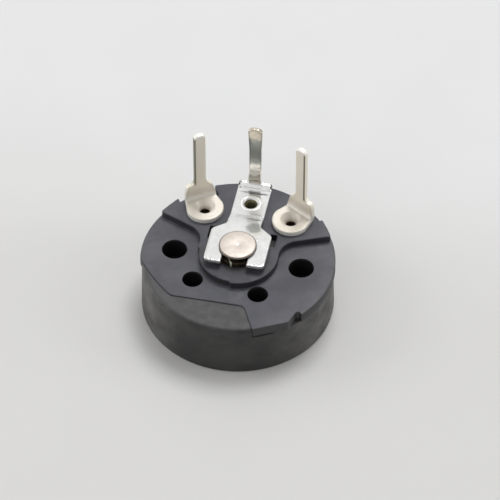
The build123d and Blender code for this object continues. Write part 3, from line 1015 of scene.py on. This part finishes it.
def moulded_rotor():
    """Rotor: hub with its screwdriver slot, disc and stop lug."""
    shell = Shell()
    hub_low, hub_high = shell.wall(
        circle((0, 0), window_radius - running_gap), [*eased(rotor_front, 0.08, False), (0, rotor_underside)]
    )
    slot = circle((0, 0), window_radius - driver_slot_wall)
    slot[:, 1] = np.clip(slot[:, 1], -driver_slot_half, driver_slot_half)
    slot_low, slot_high = shell.wall(
        hole(even(slot, 0.08)), [*eased(rotor_front, 0.05, False), (0, rotor_front + driver_slot_depth)]
    )
    disc = np.vstack(
        (
            arc((0, 0), lug_radius, -90 - lug_half_angle, -90 + lug_half_angle),
            arc((0, 0), rotor_radius, -90 + lug_half_angle, 270 - lug_half_angle),
        )
    )
    disc_low, disc_high = shell.wall(outer(even(disc, 0.15)), [(0, rotor_underside), (0, rotor_top)])
    shell.fill([hub_low, slot_low], up=False)
    shell.fill([slot_high], up=False)
    shell.fill([disc_low, hub_high], up=False)
    shell.fill([disc_high])
    return shell


def turned_shaft():
    """Shaft: foot, collar, body, groove for the fork, and a head with a rounded rim and a centre mark."""
    groove_round = 0.05
    shell, rings = spun(
        [
            (shaft_foot_radius, shaft_bottom),
            (shaft_foot_radius, rotor_top),
            (shaft_radius, rotor_top),
            (shaft_radius, wiper_top),
            (collar_radius, wiper_top),
            (collar_radius, collar_top),
            (shaft_radius, collar_top),
            (shaft_radius, neck_bottom - groove_round),
            (shaft_radius - groove_round, neck_bottom),
            (neck_radius + groove_round, neck_bottom),
            (neck_radius, neck_bottom + groove_round),
            (neck_radius, neck_top - groove_round),
            (neck_radius + groove_round, neck_top),
            (shaft_radius - 0.06, neck_top),
            (shaft_radius, neck_top + groove_round),
            (shaft_radius, shaft_top - 0.1),
            (shaft_radius - 0.012, shaft_top - 0.05),
            (shaft_radius - 0.045, shaft_top - 0.015),
            (shaft_radius - 0.1, shaft_top),
            (0.22, shaft_top),
            (0.15, shaft_top - 0.015),
            (0.06, shaft_top - 0.035),
            (0.02, shaft_top - 0.04),
        ],
        (0, 0),
        128,
    )
    shell.fill([rings[0]], up=False)
    shell.fill([rings[-1]])
    return shell


def hollow_rivet(centre, top, seat, dish):
    """Hollow rivet: a bore that opens in a dish of (radius, depth) points, and a flange under its seat."""
    profile = [
        (eyelet_bore, seat - eyelet_flange_thickness),
        (eyelet_flange, seat - eyelet_flange_thickness),
        (eyelet_flange, seat),
        (eyelet_outer, seat),
        (eyelet_outer, top - eyelet_cone),
        (eyelet_head, top - 0.01),
        *[(radius, top - depth) for radius, depth in dish],
    ]
    shell, rings = spun(profile, centre, 64)
    shell.strip(rings[-1], rings[0])
    return shell


def sheet(outline, hole_line, hole_profile, thickness, ease, spacing):
    """A flat blank with eased edges and one flared hole, ready to be folded."""
    shell = Shell()
    low, high = shell.wall(outer(outline), [*eased(0, ease, False, 4), *eased(thickness, ease, True, 4)])
    hole_low, hole_high = shell.wall(hole(hole_line), hole_profile)
    shell.fill([low, hole_low], up=False, spacing=spacing, flat=False)
    shell.fill([high, hole_high], spacing=spacing, flat=False)
    return shell


def side_terminal(sign):
    """Side terminal: round eye, square bend, shoulders and pin. Its inner shoulder slopes."""
    middle = platform_top + terminal_thickness / 2
    upright_y = bend_distance + terminal_thickness / 2
    path = [(-eye_radius, middle), (upright_y, middle), (upright_y, pin_top)]
    bend = Bend(path, bend_radius, terminal_thickness)
    eye_u, shoulder_u = bend.at_y(0), bend.at_z(platform_top + shoulder_height)
    lower = [
        (eye_radius, eye_u, 0),
        (bend_half, bend.at_y(bend_distance), 0.5),
        (bend_half, bend.at_z(bend_top), 0.8),
    ]
    tip = (pin_half, bend.length, 0.34)
    square_side = [*lower, (shoulder_half, shoulder_u, 0.22), (pin_half, shoulder_u, 0.38), tip]
    sloped_side = [*lower, (1.1, shoulder_u - 0.3, 0.45), (pin_half, shoulder_u + 0.3, 0.9), tip]
    blank = rounded(sloped_side + [(-x, u, radius) for x, u, radius in square_side[::-1]])
    blank = np.vstack((blank, arc((0, eye_u), eye_radius, 180, 360)[1:-1]))
    blank = soft(blank, 0.05, 0.07)
    flare = [(0, 0), (0, 0.2), (0.27, terminal_thickness - 0.02), (0.29, terminal_thickness)]
    eye = circle((0, eye_u), eyelet_hole, 48)
    shell = sheet(blank * (-sign, 1), eye, flare, terminal_thickness, ease=0.1, spacing=0.085)
    return shell.bent(bend).placed(-sign * terminal_turn, (sign * terminal_x, terminal_y))


def centre_terminal():
    """Centre terminal: fork, step, strap, lip and kinked pin with a flared end."""
    fork_middle = platform_top + strap_rise + strap_thickness / 2
    strap_middle = platform_top + strap_thickness / 2
    upright_y = lip_y + strap_thickness / 2
    lip_top = platform_top + lip_height
    bend = Bend(
        [
            (-fork_front, fork_middle),
            (step_near, fork_middle),
            (step_far, strap_middle),
            (upright_y, strap_middle),
            (upright_y, lip_top),
            (upright_y - kink_reach, lip_top + kink_rise),
            (upright_y, lip_top + 2 * kink_rise),
            (upright_y, centre_pin_top),
        ],
        strap_bend,
        strap_thickness,
    )
    lip_u = bend.at_z(lip_top)
    half = [
        (fork_half, 0, 0.42),
        (fork_half, bend.at_y(fork_shoulder), 0.42),
        (strap_half, bend.at_y(fork_neck), 0.35),
        (strap_half, lip_u, 0.25),
        (centre_pin_half, lip_u, 0.1),
        (centre_pin_half, bend.at_z(centre_pin_top - flare_length), 0),
        (centre_pin_flare, bend.at_z(centre_pin_top - tip_chamfer), 0.1),
        (centre_pin_tip, bend.length, 0.1),
    ]
    slot_half = neck_radius + running_gap
    slot_end = arc((0, bend.at_y(0)), slot_half, 180, 0)
    blank = rounded(half + [(-x, u, radius) for x, u, radius in half[::-1]])
    blank = np.vstack((blank, [(-slot_half, 0)], slot_end, [(slot_half, 0)]))
    blank = soft(blank, 0.05, 0.06)
    flare = [(0, 0), (0, 0.05), (0.25, strap_thickness - 0.01), (0.26, strap_thickness)]
    eye = circle((0, bend.at_y(strap_hole_y)), eyelet_hole, 48)
    return sheet(blank, eye, flare, strap_thickness, ease=0.07, spacing=0.075).bent(bend)


# The side rivets open in a trumpet, radius = bore + (mouth - bore) t^2.8, and the strap's in a shallow roll
mouth = eyelet_head - 0.03
trumpet = [
    (eyelet_bore + (mouth - eyelet_bore) * t**2.8, side_funnel * (1 - t)) for t in np.linspace(1, 0, 20)
]
roll = [(mouth, 0), (0.72, 0.008), (0.65, 0.03), (0.60, 0.07), (0.56, 0.13), (0.50, 0.24)]
roll += [(eyelet_bore, strap_funnel)]

base_line = base_outline()
for name, shell, finish, body, node, slot, crease in (
    ("moulded_back", moulded_back(base_line), base_plastic, "housing", "base_plate", "base_plastic", 32),
    ("moulded_cup", moulded_cup(base_line), cup_plastic, "housing", "housing_cup", "cup_plastic", 32),
    ("moulded_rotor", moulded_rotor(), rotor_plastic, "rotor", "rotor", "rotor_plastic", 32),
    ("turned_shaft", turned_shaft(), shaft_metal, "rotor", "pivot_shaft", "shaft_metal", 32),
):
    piece(name, shell, finish, body, [node], crease)
for name, eye, top, seat, dish, finish, slot in (
    ("left", left_eye, terminal_top, side_seat, trumpet, side_rivet, "tinned_metal"),
    ("right", right_eye, terminal_top, side_seat, trumpet, side_rivet, "tinned_metal"),
    ("centre", strap_eye, strap_top, strap_seat, roll, strap_rivet, "bright_nickel"),
):
    shell = hollow_rivet(eye, top, seat, dish)
    piece(f"hollow_rivet_{name}", shell, finish, "housing", [f"eyelet_{name}"], 50)
for name, sign in (("left", -1), ("right", 1)):
    shell = side_terminal(sign)
    piece(f"tinned_terminal_{name}", shell, tinned_metal, "housing", [f"terminal_{name}"], 45)
piece("nickel_strap", centre_terminal(), bright_nickel, "housing", ["centre_terminal"], 45)

# Inner pieces keep their solids
for node, finish in (
    ("element_board", phenolic),
    ("carbon_track", carbon_ink),
    ("end_pads", silver_ink),
    ("wiper_spring", spring_bronze),
):
    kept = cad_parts[node]
    for held in kept.material_slots:
        held.material = finish.material

# Floor, light and camera


def floor_finish():
    """Matt pale paper, painted lighter from near to far as painted light."""
    f = Finish("paper_floor", Roughness=0.9)
    # Painted light: the floor brightens toward the far side.
    far = f.ramp(f.y, -4.0, 24.0)
    mottle = f.noise(0.12, 2, 0.5)
    tone = f.blend(far, (0.70, 0.695, 0.68), (0.77, 0.77, 0.775))
    tone = f.blend(f.ramp(mottle, 0.35, 0.65) * 0.12, tone, (0.66, 0.66, 0.65))
    return f.feed(Base_Color=tone)


reach = 1.2
mesh = bpy.data.meshes.new("floor")
mesh.from_pydata(
    [(-reach, -reach, 0), (reach, -reach, 0), (reach, reach, 0), (-reach, reach, 0)], [], [(0, 1, 2, 3)]
)
mesh.materials.append(floor_finish().material)
floor = bpy.data.objects.new("floor", mesh)
bpy.context.scene.collection.objects.link(floor)

world = bpy.data.worlds.new("studio")
world.use_nodes = True
bpy.context.scene.world = world
sky = next(n for n in world.node_tree.nodes if n.type == "BACKGROUND")
sky.inputs["Color"].default_value = (1.0, 1.0, 1.0, 1)
sky.inputs["Strength"].default_value = 0.33


def toward(azimuth, elevation):
    """Unit vector from the object; azimuth 0 is in front and 90 on the right, in degrees."""
    a, e = math.radians(azimuth), math.radians(elevation)
    return Vector((math.sin(a) * math.cos(e), -math.cos(a) * math.cos(e), math.sin(e)))


lamp_distance = 0.5


def softbox(name, azimuth, elevation, width, height, power):
    """An area lamp of a size in metres and a power in watts that faces the object."""
    lamp = bpy.data.lights.new(name, "AREA")
    lamp.shape = "RECTANGLE"
    lamp.size, lamp.size_y = width, height
    lamp.energy = power
    made = bpy.data.objects.new(name, lamp)
    back = toward(azimuth, elevation)
    made.location = back * lamp_distance
    made.rotation_euler = back.to_track_quat("Z", "Y").to_euler()
    bpy.context.scene.collection.objects.link(made)


softbox("top", 168, 66, 0.2, 0.2, 1.12)
softbox("back", 192, 28, 0.7, 0.55, 0.52)
softbox("front", -28, 36, 0.4, 0.35, 0.34)
softbox("left", -86, 20, 0.3, 0.4, 0.8)
softbox("right", 100, 18, 0.25, 0.4, 0.6)

camera_azimuth = 11.45
camera_elevation = 47.39
camera_distance = 0.3413
camera_right = 0.001035
camera_up = 0.004237

back = toward(camera_azimuth, camera_elevation)
right = Vector((math.cos(math.radians(camera_azimuth)), math.sin(math.radians(camera_azimuth)), 0))
up = back.cross(right)
lens = bpy.data.cameras.new("camera")
lens.sensor_width = 36
lens.lens = 288
lens.clip_start, lens.clip_end = 0.01, 10
camera = bpy.data.objects.new("camera", lens)
camera.location = back * camera_distance + right * camera_right + up * camera_up
camera.rotation_euler = Matrix((right, up, back)).transposed().to_euler()
bpy.context.scene.collection.objects.link(camera)
bpy.context.scene.camera = camera
bpy.context.scene.view_settings.view_transform = "Standard"
